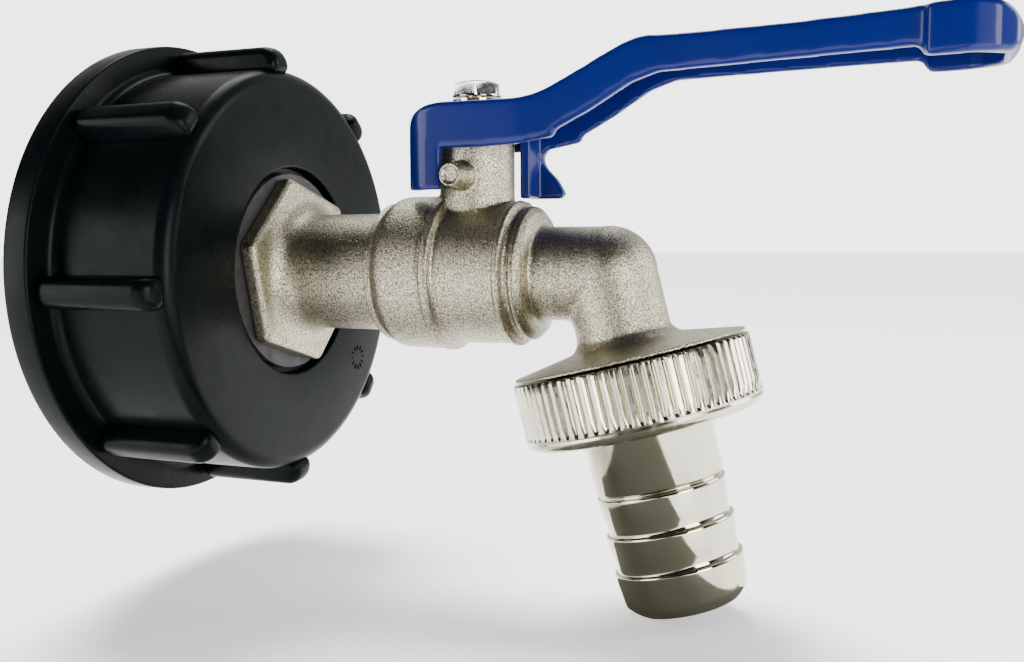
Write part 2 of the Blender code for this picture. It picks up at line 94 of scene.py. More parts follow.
CAP_AXIS = axis_frame((0, 0, 0), (1, 0, 0), (0, 0, 1))
STEM_AXIS = Matrix.Translation((STEM_X * MM, 0, 0))
OUTLET_AXIS = axis_frame(JOINTS["nut_turn"]["pos_m"], JOINTS["nut_turn"]["axis"], (0, -1, 0))


# ---------------------------------------------------------------- modelling helpers

def leave_edit():
    """Back to object mode with nothing selected."""
    if bpy.context.object and bpy.context.object.mode != "OBJECT":
        bpy.ops.object.mode_set(mode="OBJECT")
    bpy.ops.object.select_all(action="DESELECT")


def pick(obj):
    leave_edit()
    obj.select_set(True)
    bpy.context.view_layer.objects.active = obj


def edit(obj):
    pick(obj)
    bpy.ops.object.mode_set(mode="EDIT")


def select_vertices(rule):
    """In edit mode, selects the vertices whose place keeps to the rule, and what lies between them."""
    bpy.ops.mesh.select_mode(type="VERT")
    bpy.ops.mesh.select_all(action="DESELECT")
    work = bmesh.from_edit_mesh(bpy.context.object.data)
    for vertex in work.verts:
        vertex.select = rule(vertex.co)
    work.select_flush(True)
    bmesh.update_edit_mesh(bpy.context.object.data)


def select_edges(rule):
    """In edit mode, selects the edges whose two ends keep to the rule."""
    bpy.ops.mesh.select_mode(type="EDGE")
    bpy.ops.mesh.select_all(action="DESELECT")
    work = bmesh.from_edit_mesh(bpy.context.object.data)
    for edge in work.edges:
        edge.select = rule(edge.verts[0].co, edge.verts[1].co)
    bmesh.update_edit_mesh(bpy.context.object.data)


def draw_line(name, points, closed):
    """Starts from one vertex and extrudes it through the points, in millimetres. Stays in edit mode."""
    leave_edit()
    bpy.ops.mesh.primitive_plane_add(size=MM)
    obj = bpy.context.object
    obj.name = name
    bpy.ops.object.mode_set(mode="EDIT")
    bpy.ops.mesh.select_mode(type="VERT")
    bpy.ops.mesh.select_all(action="SELECT")
    bpy.ops.mesh.merge(type="CENTER")
    places = [Vector(point) * MM for point in points]
    bpy.ops.transform.translate(value=places[0])
    if closed:
        places.append(places[0])
    for here, there in zip(places, places[1:]):
        bpy.ops.mesh.extrude_region_move(TRANSFORM_OT_translate={"value": there - here})
    bpy.ops.mesh.select_all(action="SELECT")
    bpy.ops.mesh.remove_doubles(threshold=1e-6)
    bpy.ops.mesh.select_all(action="SELECT")
    return obj


def tidy_mesh():
    bpy.ops.mesh.select_all(action="SELECT")
    bpy.ops.mesh.remove_doubles(threshold=1e-6)
    bpy.ops.mesh.select_all(action="SELECT")
    bpy.ops.mesh.normals_make_consistent(inside=False)
    bpy.ops.object.mode_set(mode="OBJECT")


def spun(name, profile, segments, closed=True):
    """Spins a profile of (along, radius) points round the piece's own Z axis."""
    obj = draw_line(name, [(radius, 0.0, along) for along, radius in profile], closed)
    bpy.ops.mesh.spin(steps=segments, angle=2 * math.pi, center=(0, 0, 0), axis=(0, 0, 1))
    tidy_mesh()
    return obj


def rod(name, low, high, radius, segments=64):
    return spun(name, [(low, 0.0), (low, radius), (high, radius), (high, 0.0)], segments, closed=False)


def plate(name, outline, start, thickness):
    """Fills an outline drawn in one plane and extrudes it."""
    obj = draw_line(name, outline, closed=True)
    bpy.ops.mesh.edge_face_add()
    bpy.ops.transform.translate(value=Vector(start) * MM)
    bpy.ops.mesh.extrude_region_move(TRANSFORM_OT_translate={"value": Vector(thickness) * MM})
    tidy_mesh()
    return obj


def side_plate(name, points, low, high):
    return plate(name, [(x, 0.0, z) for x, z in points], (0, low, 0), (0, high - low, 0))


def plan_plate(name, points, low, high):
    return plate(name, [(x, y, 0.0) for x, y in points], (0, 0, low), (0, 0, high - low))


def block(name, low, high):
    (x0, y0, z0), (x1, y1, z1) = low, high
    return plan_plate(name, [(x0, y0), (x1, y0), (x1, y1), (x0, y1)], z0, z1)


def place(obj, matrix):
    """Puts the piece's place into its mesh."""
    pick(obj)
    obj.matrix_world = matrix
    bpy.ops.object.transform_apply(location=True, rotation=True, scale=True)
    return obj


def apply_modifier(obj, kind, **settings):
    pick(obj)
    modifier = obj.modifiers.new(kind.title(), kind)
    for key, value in settings.items():
        setattr(modifier, key, value)
    bpy.ops.object.modifier_apply(modifier=modifier.name)
    return obj


def combine(obj, operation, *others):
    for other in others:
        apply_modifier(obj, "BOOLEAN", operation=operation, solver="MANIFOLD", object=other)
        bpy.data.objects.remove(other, do_unlink=True)
    return obj


def joined(obj, *others):
    pick(obj)
    for other in others:
        other.select_set(True)
    bpy.ops.object.join()
    return obj


def cast_skin(obj, grain, rounds):
    """Melts joined solids into one skin, then relaxes its edges as casting does."""
    apply_modifier(obj, "REMESH", mode="VOXEL", voxel_size=grain * MM, adaptivity=0.0)
    return apply_modifier(obj, "SMOOTH", factor=0.5, iterations=rounds)


def relax(obj, rule, rounds):
    """Softens the corners among the vertices that keep to the rule."""
    edit(obj)
    select_vertices(rule)
    bpy.ops.mesh.vertices_smooth(factor=0.5, repeat=rounds)
    bpy.ops.object.mode_set(mode="OBJECT")


def arc(cx, cy, radius, start, end, steps):
    angles = [math.radians(start + (end - start) * i / steps) for i in range(steps + 1)]
    return [(cx + radius * math.cos(a), cy + radius * math.sin(a)) for a in angles]


def smooth_line(points, steps):
    """A Catmull-Rom curve through the points, which are the ends too."""
    ends = [points[0]] + points + [points[-1]]
    curve = []
    for i in range(len(points) - 1):
        p0, p1, p2, p3 = (Vector(p) for p in ends[i:i + 4])
        for k in range(steps):
            t = k / steps
            bend = 2 * p0 - 5 * p1 + 4 * p2 - p3
            twist = 3 * p1 - p0 - 3 * p2 + p3
            curve.append(tuple((2 * p1 + (p2 - p0) * t + bend * t ** 2 + twist * t ** 3) / 2))
    return curve + [tuple(points[-1])]


def mirrored(points):
    return points + [(x, -y) for x, y in reversed(points)]


def finish_piece(obj, name, material, body, slot, *nodes, angle=30):
    pick(obj)
    obj.name = name
    obj.data.materials.clear()
    obj.data.materials.append(material)
    bpy.ops.object.shade_smooth_by_angle(angle=math.radians(angle))
    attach(obj, body)
    if nodes:
        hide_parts(*nodes)


# ---------------------------------------------------------------- materials

def new_material(name, color, roughness, metallic=0.0):
    material = bpy.data.materials.new(name)
    material.use_nodes = True
    shader = material.node_tree.nodes["Principled BSDF"]
    shader.inputs["Base Color"].default_value = (*color, 1.0)
    shader.inputs["Roughness"].default_value = roughness
    shader.inputs["Metallic"].default_value = metallic
    return material, material.node_tree, shader


def object_coordinates(tree, stretch=(1, 1, 1)):
    coordinates = tree.nodes.new("ShaderNodeTexCoord")
    mapping = tree.nodes.new("ShaderNodeMapping")
    mapping.inputs["Scale"].default_value = stretch
    tree.links.new(coordinates.outputs["Object"], mapping.inputs["Vector"])
    return mapping.outputs["Vector"]


def noise(tree, vector, scale, detail=2.0, roughness=0.5):
    node = tree.nodes.new("ShaderNodeTexNoise")
    node.inputs["Scale"].default_value = scale
    node.inputs["Detail"].default_value = detail
    node.inputs["Roughness"].default_value = roughness
    tree.links.new(vector, node.inputs["Vector"])
    return node.outputs["Fac"]


def ramp(tree, value, low, high, color_low, color_high):
    node = tree.nodes.new("ShaderNodeValToRGB")
    node.color_ramp.elements[0].position = low
    node.color_ramp.elements[1].position = high
    node.color_ramp.elements[0].color = (*color_low, 1.0)
    node.color_ramp.elements[1].color = (*color_high, 1.0)
    tree.links.new(value, node.inputs["Fac"])
    return node.outputs["Color"]


def scaled(color, share):
    """The colour made darker or lighter, each channel kept to 1."""
    return [min(channel * share, 1.0) for channel in color]


def between(tree, value, low, high, out_low, out_high):
    node = tree.nodes.new("ShaderNodeMapRange")
    for key, number in (("From Min", low), ("From Max", high), ("To Min", out_low), ("To Max", out_high)):
        node.inputs[key].default_value = number
    tree.links.new(value, node.inputs["Value"])
    return node.outputs["Result"]


def multiply(tree, color_a, color_b, amount):
    node = tree.nodes.new("ShaderNodeMix")
    node.data_type = "RGBA"
    node.blend_type = "MULTIPLY"
    node.inputs["Factor"].default_value = amount
    tree.links.new(color_a, node.inputs["A"])
    tree.links.new(color_b, node.inputs["B"])
    return node.outputs["Result"]


def add_bump(tree, shader, height, strength, depth):
    node = tree.nodes.new("ShaderNodeBump")
    node.inputs["Strength"].default_value = strength
    node.inputs["Distance"].default_value = depth * MM
    tree.links.new(height, node.inputs["Height"])
    if shader.inputs["Normal"].is_linked:
        tree.links.new(shader.inputs["Normal"].links[0].from_socket, node.inputs["Normal"])
    tree.links.new(node.outputs["Normal"], shader.inputs["Normal"])


def moulded_plastic(color):
    material, tree, shader = new_material("moulded_black", color, 0.3)
    place_in = object_coordinates(tree)
    cloud = noise(tree, place_in, 90.0, 3.0)
    tint = ramp(tree, cloud, 0.3, 0.75, scaled(color, 0.8), scaled(color, 1.5))
    tree.links.new(tint, shader.inputs["Base Color"])
    wear = noise(tree, place_in, 260.0, 4.0)
    tree.links.new(between(tree, wear, 0.3, 0.7, 0.24, 0.36), shader.inputs["Roughness"])
    shader.inputs["Specular IOR Level"].default_value = 0.07
    add_bump(tree, shader, noise(tree, place_in, 2600.0, 2.0), 0.10, 0.03)
    add_bump(tree, shader, noise(tree, place_in, 75.0, 1.0), 0.05, 0.25)
    return material


def blasted_metal(name, color, rough_low, rough_high, grain, bump):
    material, tree, shader = new_material(name, color, 0.4, 1.0)
    place_in = object_coordinates(tree)
    speckle = noise(tree, place_in, grain, 2.0, 0.6)
    cloud = noise(tree, place_in, 160.0, 3.0)
    fine = ramp(tree, speckle, 0.38, 0.6, scaled(color, 0.26), scaled(color, 1.25))
    broad = ramp(tree, cloud, 0.3, 0.7, (0.86, 0.86, 0.88), (1.0, 1.0, 0.98))
    tree.links.new(multiply(tree, fine, broad, 1.0), shader.inputs["Base Color"])
    tree.links.new(between(tree, speckle, 0.35, 0.65, rough_high, rough_low), shader.inputs["Roughness"])
    add_bump(tree, shader, speckle, bump, 0.12)
    return material


def polished_metal(name, color, roughness, wave):
    material, tree, shader = new_material(name, color, roughness, 1.0)
    place_in = object_coordinates(tree)
    cloud = noise(tree, place_in, 120.0, 3.0)
    tree.links.new(ramp(tree, cloud, 0.3, 0.7, scaled(color, 0.9), color), shader.inputs["Base Color"])
    smears = noise(tree, place_in, 700.0, 4.0)
    rough = between(tree, smears, 0.3, 0.7, roughness * 0.6, roughness * 1.6)
    tree.links.new(rough, shader.inputs["Roughness"])
    add_bump(tree, shader, noise(tree, place_in, 240.0, 2.0), wave, 0.12)
    add_bump(tree, shader, noise(tree, place_in, 3200.0, 2.0), wave * 0.5, 0.02)
    return material


def gloss_paint(color):
    material, tree, shader = new_material("blue_paint", color, 0.32)
    place_in = object_coordinates(tree)
    cloud = noise(tree, place_in, 70.0, 2.0)
    tint = ramp(tree, cloud, 0.3, 0.7, scaled(color, 0.88), scaled(color, 1.08))
    tree.links.new(tint, shader.inputs["Base Color"])
    shader.inputs["Specular IOR Level"].default_value = 0.2
    shader.inputs["Coat Weight"].default_value = 0.25
    shader.inputs["Coat Roughness"].default_value = 0.06
    add_bump(tree, shader, noise(tree, place_in, 420.0, 2.0), 0.10, 0.15)
    return material


def soft_material(name, color, rough_low, rough_high, grain, metallic=0.0):
    material, tree, shader = new_material(name, color, rough_high, metallic)
    place_in = object_coordinates(tree)
    mottle = noise(tree, place_in, grain, 4.0)
    tint = ramp(tree, mottle, 0.3, 0.7, scaled(color, 0.75), scaled(color, 1.2))
    tree.links.new(tint, shader.inputs["Base Color"])
    tree.links.new(between(tree, mottle, 0.3, 0.7, rough_high, rough_low), shader.inputs["Roughness"])
    add_bump(tree, shader, noise(tree, place_in, grain * 3, 3.0), 0.2, 0.04)
    return material


# ---------------------------------------------------------------- settings

def length(name, description, value):
    return FloatProperty(
        name=name, description=description, default=value * MM, min=0.0, unit="LENGTH", subtype="DISTANCE", precision=5,
    )


def turn(name, description, degrees):
    return FloatProperty(name=name, description=description, default=math.radians(degrees), subtype="ANGLE")


def colour(name, description, value):
    return FloatVectorProperty(
        name=name, description=description, default=value, size=3, min=0.0, max=1.0, subtype="COLOR",
    )


class CapSettings(bpy.types.PropertyGroup):
    length: length("Length", "From the open rim to the front face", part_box("adapter_cap")[1].x / MM)
    flange_radius: length("Flange radius", "Outside of the rear band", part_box("adapter_cap")[1].z / MM)
    flange_width: length("Flange width", "Width of the rear band", 4.7)
    body_radius: length("Body radius", "Outside of the cap between its ribs", 34.0)
    rib_radius: length("Rib radius", "Top of the grip ribs", 37.8)
    rib_width: length("Rib width", "Width of a grip rib at its top", 4.5)
    ribs: IntProperty(name="Ribs", description="Number of grip ribs", default=8, min=2, max=24)
    rib_turn: turn("Rib turn", "Turn of the first rib from the top", 3.5)
    thread_pitch: length("Thread pitch", "Rise of the tank thread in one turn", 6.0)
    plastic: colour("Plastic", "Colour of the moulded cap", (0.001, 0.0024, 0.0025))


class ConnectorSettings(bpy.types.PropertyGroup):
    across_flats: length("Across flats", "Width of the hexagon", 28.0)
    hexagon_turn: turn("Hexagon turn", "Turn of its first corner from the top", 13.5)
    neck_radius: length("Neck radius", "Round neck between the hexagon and the tap", 9.6)
    metal: colour("Metal", "Colour of the blasted nickel", (0.52, 0.48, 0.35))


class BodySettings(bpy.types.PropertyGroup):
    housing_radius: length("Housing radius", "Outside of the ball housing", 12.3)
    pipe_radius: length("Pipe radius", "Outside of the elbow", 7.3)
    tower_radius: length("Tower radius", "Outside of the stem tower", 5.95)
    skirt_radius: length("Skirt radius", "Outside of the cone above the union nut", 17.9)
    grain: length("Casting grain", "Cell size of the cast skin", 0.22)


class LeverSettings(bpy.types.PropertyGroup):
    sheet: length("Sheet", "Thickness of the lever's sheet", 1.7)
    paint: colour("Paint", "Colour of the lever", (0.0, 0.0055, 0.1))
    grain: length("Paint skin", "Cell size of the painted skin", 0.27)


class UnionSettings(bpy.types.PropertyGroup):
    radius: length("Radius", "Outside of the knurling", 18.4)
    grooves: IntProperty(name="Grooves", description="Number of knurling grooves", default=70, min=12, max=120)
    groove_depth: length("Groove depth", "Depth of the knurling", 0.62)
    barb_pitch: length("Barb pitch", "Distance from one barb to the next", 5.85)
    metal: colour("Metal", "Colour of the polished nickel", (0.63, 0.60, 0.46))


class StageSettings(bpy.types.PropertyGroup):
    floor: colour("Floor", "Colour of the floor", (0.86, 0.86, 0.87))
    lens: FloatProperty(
        name="Lens", description="Focal length of the camera in millimetres", default=38.67, min=10.0, max=200.0,
    )


# ---------------------------------------------------------------- operators

class TAP_OT_cap(bpy.types.Operator):
    """Screw cap with its rear band, grip ribs, front recess and coarse inner thread"""
    bl_idname = "outlet_tap.cap"
    bl_label = "Screw cap"

    def execute(self, context):
        cap = context.scene.tap_cap
        material = moulded_plastic(cap.plastic)
        shell = self.shell(cap)
        rib = self.rib(cap)
        ribs = []
        for i in range(cap.ribs):
            pick(rib)
            bpy.ops.object.duplicate(linked=False)
            turn = Matrix.Rotation(cap.rib_turn + 2 * math.pi * i / cap.ribs, 4, "Z")
            ribs.append(place(bpy.context.object, turn))
        bpy.data.objects.remove(rib, do_unlink=True)
        joined(shell, self.thread(cap), *ribs, *self.dial(cap))
        place(shell, CAP_AXIS)
        finish_piece(shell, "cap", material, "tap", "moulded_black", "adapter_cap")
        return {"FINISHED"}

    def shell(self, cap):
        front, body = cap.length / MM, cap.body_radius / MM
        band, edge = cap.flange_width / MM, cap.flange_radius / MM
        hub, bore, recess = 17.6, 13.3, 2.1
        profile = [(front - recess, bore), (front - recess, hub - 0.3)]
        profile += arc(front - recess + 0.4, hub - 0.3, 0.4, 180, 90, 3)
        profile += arc(front - 0.35, hub + 0.45, 0.35, 270, 360, 4)
        profile += arc(front - 2.6, body - 2.6, 2.6, 0, 90, 10)
        profile += arc(band + 1.5, body + 1.55, 1.5, 270, 180, 6)
        profile += arc(band - 0.45, edge - 0.45, 0.45, 0, 90, 4)
        profile += arc(0.6, edge - 0.6, 0.6, 90, 180, 4)
        profile += [(0.0, 31.0), (1.0, 30.0), (18.0, 30.0), (18.0, 29.2), (21.5, 29.2), (21.5, hub)]
        profile += arc(15.4, hub - 0.4, 0.4, 90, 180, 3) + [(15.0, bore)]
        return spun("cap_shell", profile, 160)

    def rib(self, cap):
        """One rib lying along the cap, its top facing outwards."""
        root, top, half = cap.body_radius / MM - 0.8, cap.rib_radius / MM, cap.rib_width / MM / 2
        rear, front = 4.6, 25.5
        leave_edit()
        bpy.ops.mesh.primitive_cube_add(size=MM, location=((root + top) / 2 * MM, 0, (rear + front) / 2 * MM))
        obj = bpy.context.object
        obj.name = "rib"
        bpy.ops.object.transform_apply(location=True)
        bpy.ops.object.mode_set(mode="EDIT")
        bpy.ops.mesh.select_all(action="SELECT")
        middle = ((root + top) / 2 * MM, 0, (rear + front) / 2 * MM)
        bpy.ops.transform.resize(value=(top - root, 2 * half + 0.9, front - rear), center_override=middle)
        select_vertices(lambda co: co.x > (top - 0.1) * MM)
        bpy.ops.transform.resize(value=(1, 2 * half / (2 * half + 0.9), 1), center_override=middle)
        select_edges(lambda a, b: min(a.x, b.x) > (top - 0.1) * MM and min(a.z, b.z) > (front - 0.1) * MM)
        bpy.ops.mesh.bevel(offset=3.0 * MM, segments=8, affect="EDGES")
        select_edges(lambda a, b: max(a.z, b.z) < (rear + 0.1) * MM and abs(a.x - b.x) > MM)
        bpy.ops.mesh.bevel(offset=1.9 * MM, segments=6, affect="EDGES")
        bpy.ops.object.mode_set(mode="OBJECT")
        sharp = math.radians(50)
        return apply_modifier(obj, "BEVEL", width=1.5 * MM, segments=5, limit_method="ANGLE", angle_limit=sharp)

    def dial(self, cap):
        """A small moulded dial of short strokes on the front face."""
        face = cap.length / MM
        dial_radius, count = 1.9, 12
        centre = Matrix.Translation((-17.1 * MM, -20.3 * MM, 0))
        strokes = []
        for i in range(count):
            leave_edit()
            bpy.ops.mesh.primitive_cube_add(size=MM, location=(dial_radius * MM, 0, (face + 0.02) * MM))
            stroke = bpy.context.object
            bpy.ops.object.mode_set(mode="EDIT")
            bpy.ops.mesh.select_all(action="SELECT")
            bpy.ops.transform.resize(value=(0.9, 0.28, 0.3))
            select_vertices(lambda co: co.z > 0)
            bpy.ops.transform.resize(value=(0.85, 0.6, 1.0))
            bpy.ops.object.mode_set(mode="OBJECT")
            bpy.ops.object.transform_apply(location=True)
            place(stroke, centre @ Matrix.Rotation(2 * math.pi * i / count, 4, "Z"))
            strokes.append(stroke)
        return strokes

    def thread(self, cap):
        """A helical ridge inside the socket."""
        pitch = cap.thread_pitch / MM
        profile = [(3.0, 30.4), (3.9, 28.4), (4.1, 28.2), (5.3, 28.2), (5.5, 28.4), (6.4, 30.4)]
        obj = draw_line("cap_thread", [(radius, 0.0, along) for along, radius in profile], closed=True)
        bpy.ops.object.mode_set(mode="OBJECT")
        steps = 96
        apply_modifier(
            obj, "SCREW", axis="Z", steps=steps, render_steps=steps, iterations=2, screw_offset=pitch * MM,
            use_merge_vertices=False,
        )
        edit(obj)
        bpy.ops.mesh.select_all(action="SELECT")
        bpy.ops.mesh.fill_holes(sides=8)
        tidy_mesh()
        return obj


class TAP_OT_connector(bpy.types.Operator):
    """Cast inlet connector: hexagon, sloped shoulder and round neck"""
    bl_idname = "outlet_tap.connector"
    bl_label = "Inlet connector"

    def execute(self, context):
        settings = context.scene.tap_connector
        neck = settings.neck_radius / MM
        joint = 44.9
        profile = [(16.0, 0.0), (16.0, 12.0), (17.0, 13.0), (26.2, 13.0), (28.0, 13.2)]
        profile += arc(31.8, neck + 3.7, 3.7, 180, 270, 10)
        profile += [(joint, neck), (joint, 9.7), (52.0, 9.7), (52.6, 9.1), (52.6, 0.0)]
        core = spun("connector", profile, 128, closed=False)
        hexagon = self.hexagon(settings)
        joined(core, hexagon)
        cast_skin(core, 0.25, 5)
        relax(core, lambda co: 27.4 * MM < co.z < 34.0 * MM, 14)
        combine(core, "DIFFERENCE", rod("inlet_bore", 10.0, 60.0, 5.5, 96))
        place(core, CAP_AXIS)
        material = blasted_metal("blasted_connector", settings.metal, 0.24, 0.42, 4000.0, 0.9)
        finish_piece(core, "connector", material, "tap", "blasted_nickel", "inlet_connector", angle=40)
        return {"FINISHED"}

    def hexagon(self, settings):
        """A six-sided prism with rounded corners and a chamfered front."""
        leave_edit()
        rear, front = 25.5, 28.2
        corner = settings.across_flats / 2 / math.cos(math.radians(30))
        middle = (0, 0, (rear + front) / 2 * MM)
        bpy.ops.mesh.primitive_cylinder_add(vertices=6, radius=corner, depth=(front - rear) * MM, location=middle)
        obj = bpy.context.object
        bpy.ops.object.transform_apply(location=True)
        bpy.ops.object.mode_set(mode="EDIT")
        bpy.ops.mesh.select_all(action="SELECT")
        select_edges(lambda a, b: abs(a.z - b.z) > MM)
        bpy.ops.mesh.bevel(offset=0.6 * MM, segments=4, affect="EDGES")
        select_edges(lambda a, b: min(a.z, b.z) > (front - 0.1) * MM)
        bpy.ops.mesh.bevel(offset=0.5 * MM, segments=2, affect="EDGES")
        bpy.ops.object.mode_set(mode="OBJECT")
        start = math.pi / 2
        return place(obj, Matrix.Rotation(settings.hexagon_turn - start, 4, "Z"))


class TAP_OT_body(bpy.types.Operator):
    """Cast tap body: ball housing with its rings, stem tower, stop boss, elbow and skirt"""
    bl_idname = "outlet_tap.body"
    bl_label = "Tap body"

    def execute(self, context):
        body = context.scene.tap_body
        metal = context.scene.tap_connector.metal
        housing, tower, boss = self.housing(body), self.tower(body), self.boss()
        joined(housing, tower, boss, self.corner(body), self.outlet(body))
        cast_skin(housing, body.grain / MM, 3)
        apply_modifier(housing, "DECIMATE", ratio=0.6)

        def at_tower_foot(co):
            away = math.hypot(co.x - STEM_X * MM, co.y)
            return away < body.tower_radius + 2.2 * MM and 8.5 * MM < co.z < 13.4 * MM

        def in_elbow(co):
            away = math.hypot(co.x - (ELBOW_X - 8.0) * MM, co.z + 8.0 * MM)
            return co.x > 75.5 * MM and co.z > -11.5 * MM and away < 5.5 * MM

        def at_skirt(co):
            down = (OUTLET_AXIS.inverted() @ co)
            return 7.5 * MM < down.z < 11.6 * MM and math.hypot(down.x, down.y) < body.pipe_radius + 3.0 * MM

        relax(housing, at_tower_foot, 16)
        relax(housing, in_elbow, 60)
        relax(housing, at_skirt, 16)
        combine(housing, "DIFFERENCE", *self.hollows())
        material = blasted_metal("blasted_body", metal, 0.24, 0.42, 4300.0, 0.9)
        finish_piece(housing, "tap_casting", material, "tap", "blasted_nickel", "tap_body", angle=40)
        return {"FINISHED"}

    def housing(self, body):
        radius, pipe = body.housing_radius / MM, body.pipe_radius / MM
        profile = [(45.2, 0.0), (45.2, 10.8)] + arc(45.7, 10.8, 0.5, 180, 110, 3)
        profile += arc(49.0, radius - 3.2, 3.2, 145, 90, 8)
        profile += [(54.8, radius), (55.1, radius - 0.2), (55.3, radius - 0.2), (55.5, radius + 0.25)]
        profile += [(56.7, radius + 0.15), (57.1, 11.3), (66.8, 11.15)]
        profile += [(67.0, 10.9), (67.2, 11.5), (68.0, 11.45)]
        profile += [(68.4, 10.1), (69.2, 10.1), (69.5, 10.55), (70.2, 10.4), (70.9, 9.6), (71.3, 8.5)]
        profile += [(71.5, pipe + 0.2)]
        profile += [(72.3, pipe), (ELBOW_X, pipe), (ELBOW_X, 0.0)]
        return place(spun("housing", profile, 144, closed=False), CAP_AXIS)

    def tower(self, body):
        radius = body.tower_radius / MM
        profile = [(4.0, 0.0), (4.0, radius), (22.2, radius), (22.6, radius - 0.4), (22.6, 0.0)]
        return place(spun("tower", profile, 96, closed=False), STEM_AXIS)

    def boss(self):
        """The round stop peg on the tower, with a shallow dimple in its end."""
        profile = [(3.0, 0.0), (3.0, 2.3), (6.4, 2.15), (7.0, 1.9), (8.9, 1.85), (9.1, 1.75), (10.7, 1.75)]
        profile += [(10.7, 1.4), (10.2, 1.25), (10.2, 0.0)]
        matrix = axis_frame((STEM_X * MM, 0, 15.15 * MM), (0, -1, 0), (1, 0, 0))
        return place(spun("stop_boss", profile, 48, closed=False), matrix)

    def corner(self, body):
        leave_edit()
        bpy.ops.mesh.primitive_uv_sphere_add(segments=72, ring_count=36, radius=body.pipe_radius + 0.1 * MM)
        obj = bpy.context.object
        return place(obj, axis_frame((ELBOW_X * MM, 0, 0), (0, 1, 0), (1, 0, 0)))

    def outlet(self, body):
        pipe, skirt = body.pipe_radius / MM, body.skirt_radius / MM
        profile = [(0.0, 0.0), (0.0, pipe), (9.6, pipe), (10.8, pipe + 1.1), (12.5, skirt), (12.95, skirt)]
        profile += [(12.95, 13.0), (17.2, 13.0), (18.2, 12.0), (18.2, 0.0)]
        return place(spun("outlet", profile, 144, closed=False), OUTLET_AXIS)

    def hollows(self):
        """Cutters for the chamber, the stem's hole and the waterway."""
        chamber = [(40.0, 0.0), (40.0, 10.0), (53.2, 10.0), (53.2, 8.6), (69.7, 8.6), (69.7, 5.2)]
        chamber += [(ELBOW_X, 5.2), (ELBOW_X, 0.0)]
        room = place(spun("chamber", chamber, 96, closed=False), CAP_AXIS)
        stem = [(0.0, 0.0), (0.0, 4.4), (11.4, 4.4), (11.4, 3.1), (40.0, 3.1), (40.0, 0.0)]
        well = place(spun("stem_hole", stem, 64, closed=False), STEM_AXIS)
        drop = [(0.0, 0.0), (0.0, 5.2), (13.2, 5.2), (15.0, 8.2), (30.0, 8.2), (30.0, 0.0)]
        fall = place(spun("falling_bore", drop, 96, closed=False), OUTLET_AXIS)
        return room, well, fall


